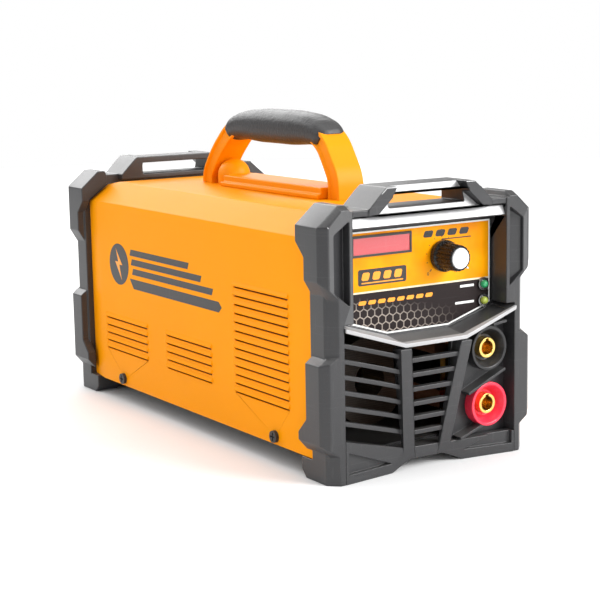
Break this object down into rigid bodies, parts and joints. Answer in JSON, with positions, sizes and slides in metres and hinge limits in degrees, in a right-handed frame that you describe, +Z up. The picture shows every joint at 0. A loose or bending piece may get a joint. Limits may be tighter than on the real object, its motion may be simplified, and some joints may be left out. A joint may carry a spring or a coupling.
{
  "type": "stick welding inverter",
  "caption": "Portable stick welding inverter with an orange sheet cover, dark moulded end frames, a soft-grip carrying handle, a digital current display, a knob and two output sockets.",
  "frame": {"origin": "middle of the footprint, on the plane of the four feet", "axes": "-Y faces the user (control panel), +Y the rear, +Z up, +X the user's right, the side of the output sockets"},
  "size_m": [0.166, 0.368, 0.2215],
  "materials": {
    "frame_plastic": "fine-grained satin moulding",
    "orange_sheet": "smooth semi-gloss coat",
    "orange_moulding": "satin",
    "soft_grip": "pebbled, matte",
    "print": "printed film",
    "red_lens": "tinted, clear",
    "black_plastic": "satin",
    "red_plastic": "satin",
    "green_lens": "diffused",
    "yellow_lens": "diffused",
    "bright_cap": "turned, bright",
    "chrome_trim": "polished",
    "brass_contact": "turned, slightly dulled",
    "copper": "rolled copper bar",
    "zinc_steel": "zinc plated",
    "dark_steel": "black coat",
    "board_green": "solder mask",
    "finned_aluminium": "extruded",
    "ferrite": "matt",
    "winding": "copper winding wrapped in yellow tape"
  },
  "bodies": {
    "case": {"front_frame": "frame_plastic", "rear_frame": "frame_plastic", "front_grille": "frame_plastic", "front_fascia": "frame_plastic", "panel_screws": "zinc_steel", "control_label": "print", "display_window": "red_lens", "display_module": "black_plastic", "pot_body": "zinc_steel", "pot_nut": "zinc_steel", "led_bezels": "chrome_trim", "power_lamp": "green_lens", "overheat_lamp": "yellow_lens", "control_board": "board_green", "control_board_screws": "zinc_steel", "negative_socket_shell": "black_plastic", "positive_socket_shell": "red_plastic", "negative_contact": "brass_contact", "positive_contact": "brass_contact", "socket_locknuts": "black_plastic", "contact_bolts": "zinc_steel", "negative_busbar": "copper", "positive_busbar": "copper", "cover": "orange_sheet", "cover_screws": "dark_steel", "base_pan": "dark_steel", "frame_screws": "zinc_steel", "handle_frame": "orange_moulding", "handle_grip": "soft_grip", "handle_plinth": "orange_moulding", "handle_screws": "zinc_steel", "rear_panel": "dark_steel", "fan_housing": "black_plastic", "fan_guard": "chrome_trim", "fan_screws": "zinc_steel", "switch_body": "black_plastic", "gland_body": "black_plastic", "gland_seal": "soft_grip", "gland_nut": "black_plastic", "gland_locknut": "black_plastic", "earth_screw": "brass_contact", "rating_plate": "bright_cap", "main_board": "board_green", "board_standoffs": "brass_contact", "heatsink_rails": "black_plastic", "transistor_heatsink": "finned_aluminium", "diode_heatsink": "finned_aluminium", "transistors": "black_plastic", "output_diodes": "black_plastic", "bulk_capacitors": "black_plastic", "bridge_rectifier": "black_plastic", "soft_start_relay": "black_plastic", "transformer_core": "ferrite", "transformer_windings": "winding", "output_choke": "winding"},
    "knob": {"knob": "black_plastic", "knob_cap": "bright_cap", "pot_shaft": "zinc_steel"},
    "fan": {"fan_rotor": "black_plastic"},
    "rocker": {"switch_rocker": "black_plastic"}
  },
  "joints": [
    {"name": "knob_turn", "type": "hinge", "parent": "case", "child": "knob", "pos_m": [0.0192, -0.17, 0.133], "axis": [0, 1, 0], "range_deg": [0, 270]},
    {"name": "fan_spin", "type": "hinge", "parent": "case", "child": "fan", "pos_m": [0, 0.15, 0.0701], "axis": [0, 1, 0], "continuous": true},
    {"name": "power_rocker", "type": "hinge", "parent": "case", "child": "rocker", "pos_m": [0.03, 0.1617, 0.14095], "axis": [-1, 0, 0], "range_deg": [0, 20]}
  ]
}
